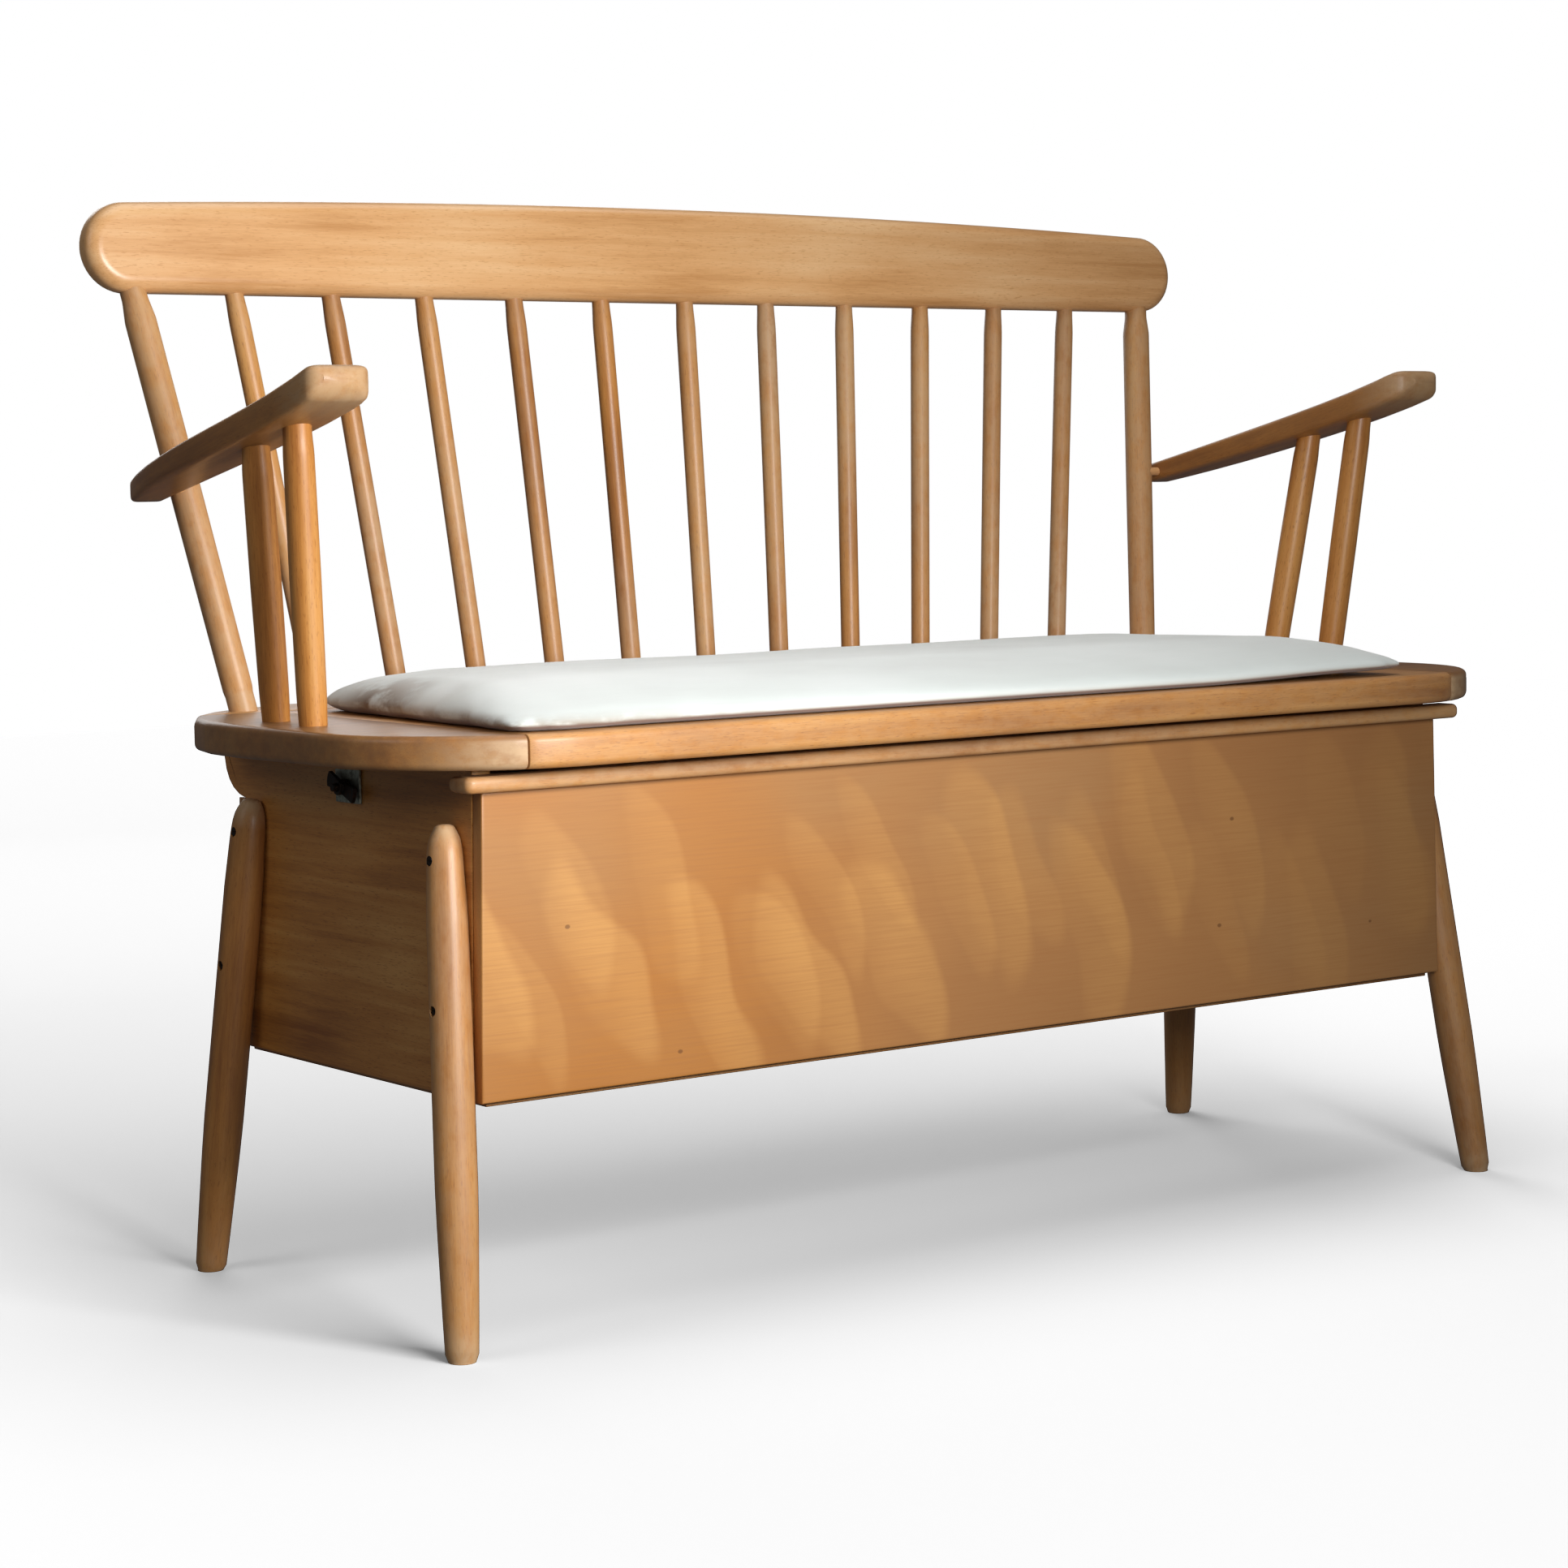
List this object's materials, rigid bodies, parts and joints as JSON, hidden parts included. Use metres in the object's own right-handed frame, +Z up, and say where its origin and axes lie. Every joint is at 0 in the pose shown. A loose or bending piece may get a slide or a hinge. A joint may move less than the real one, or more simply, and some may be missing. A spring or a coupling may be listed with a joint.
{
  "type": "storage bench",
  "caption": "Wooden storage bench with a hinged seat lid and thin cushion, a spindle back, paddle arms and a plywood box on splayed turned legs.",
  "frame": {"origin": "middle of the bench's footprint at floor level", "axes": "+X along the bench to a sitter's left, +Y towards the back, +Z up"},
  "size_m": [1.15, 0.4988, 0.8586],
  "materials": {
    "beech": "satin varnish, worn",
    "beech_crest": "glossy varnish, worn",
    "plywood": "satin varnish over rotary-cut birch ply",
    "cushion_fabric": "plain woven cotton, worn",
    "brass": "dull",
    "dark_steel": "blackened",
    "zinc": "zinc plated, dull"
  },
  "bodies": {
    "bench": {"crest_rail": "beech_crest", "spindle_01": "beech", "spindle_02": "beech", "spindle_03": "beech", "spindle_04": "beech", "spindle_05": "beech", "spindle_06": "beech", "spindle_07": "beech", "spindle_08": "beech", "spindle_09": "beech", "spindle_10": "beech", "spindle_11": "beech", "seat_back_board": "beech", "front_rail": "beech", "front_panel": "plywood", "back_panel": "plywood", "bottom_panel": "plywood", "seat_end_left": "beech", "side_panel_left": "beech", "back_post_left": "beech", "arm_left": "beech", "arm_spindle_front_left": "beech", "arm_spindle_rear_left": "beech", "leg_front_left": "beech", "leg_rear_left": "beech", "arm_dowel_left": "beech_crest", "leg_screw_front_left_lower": "dark_steel", "leg_screw_front_left_upper": "dark_steel", "leg_screw_rear_left_lower": "dark_steel", "leg_screw_rear_left_upper": "dark_steel", "bracket_left": "zinc", "bracket_bolt_left": "dark_steel", "wing_nut_left": "dark_steel", "hinge_fixed_leaf_left": "brass", "hinge_pin_left": "brass", "seat_end_right": "beech", "side_panel_right": "beech", "back_post_right": "beech", "arm_right": "beech", "arm_spindle_front_right": "beech", "arm_spindle_rear_right": "beech", "leg_front_right": "beech", "leg_rear_right": "beech", "arm_dowel_right": "beech_crest", "leg_screw_front_right_lower": "dark_steel", "leg_screw_front_right_upper": "dark_steel", "leg_screw_rear_right_lower": "dark_steel", "leg_screw_rear_right_upper": "dark_steel", "bracket_right": "zinc", "bracket_bolt_right": "dark_steel", "wing_nut_right": "dark_steel", "hinge_fixed_leaf_right": "brass", "hinge_pin_right": "brass"},
    "lid": {"seat_lid": "beech", "seat_cushion": "cushion_fabric", "hinge_lid_leaf_left": "brass", "hinge_lid_leaf_right": "brass"}
  },
  "joints": [
    {"name": "lid_hinge", "type": "hinge", "parent": "bench", "child": "lid", "pos_m": [0, 0.1353, 0.4485], "axis": [-1, 0, 0], "range_deg": [0, 97]}
  ]
}
